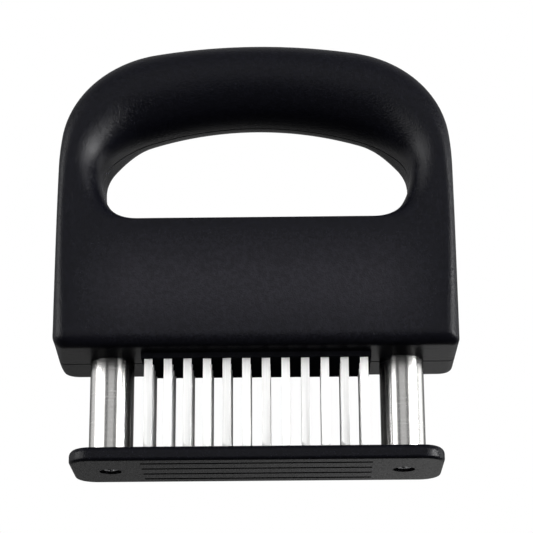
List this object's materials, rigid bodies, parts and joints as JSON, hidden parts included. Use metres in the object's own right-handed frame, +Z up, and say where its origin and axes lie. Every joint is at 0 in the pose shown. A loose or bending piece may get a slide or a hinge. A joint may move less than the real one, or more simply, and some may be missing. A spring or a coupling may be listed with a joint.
{
  "type": "blade meat tenderizer",
  "caption": "Hand meat tenderizer: a moulded grip body with rows of narrow blades slides on two sprung columns above a slotted guard plate.",
  "frame": {"origin": "centre of the guard plate's underside", "axes": "+X to the right along the blade rows, +Y to the rear, +Z up along the columns"},
  "size_m": [0.1448, 0.0465, 0.1628],
  "materials": {
    "handle_shell": "black ABS with fine spark grain",
    "carrier_plastic": "black ABS, smooth matt",
    "guard_plastic": "black ABS, satin",
    "column_steel": "stainless tube, brushed",
    "blade_steel": "stainless, ground",
    "plate_steel": "zinc plated",
    "screw_steel": "dark plated",
    "spring_steel": "spring wire",
    "plug_aluminium": "turned",
    "nylon": "natural nylon",
    "rod_plastic": "natural acetal"
  },
  "bodies": {
    "guard": {"guard_plate": "guard_plastic", "guard_screws": "screw_steel", "column_left": "column_steel", "column_right": "column_steel", "foot_plug_left": "plug_aluminium", "foot_plug_right": "plug_aluminium", "stop_bush_left": "nylon", "stop_bush_right": "nylon", "retaining_rings": "spring_steel", "return_spring_left": "spring_steel", "return_spring_right": "spring_steel"},
    "handle": {"handle_front_shell": "handle_shell", "handle_rear_shell": "handle_shell", "shell_dowels": "plate_steel", "blade_carrier": "carrier_plastic", "blade_row_1": "blade_steel", "blade_row_2": "blade_steel", "blade_row_3": "blade_steel", "blade_row_4": "blade_steel", "blade_backing_plate": "plate_steel", "plate_screws": "screw_steel", "spring_rod_left": "rod_plastic", "spring_rod_right": "rod_plastic"}
  },
  "joints": [
    {"name": "press_stroke", "type": "slide", "parent": "guard", "child": "handle", "axis": [0, 0, -1], "range_m": [0, 0.03], "stiffness_N_per_m": 500, "springref_m": -0.03, "deforming": ["return_spring_left", "return_spring_right"]}
  ]
}
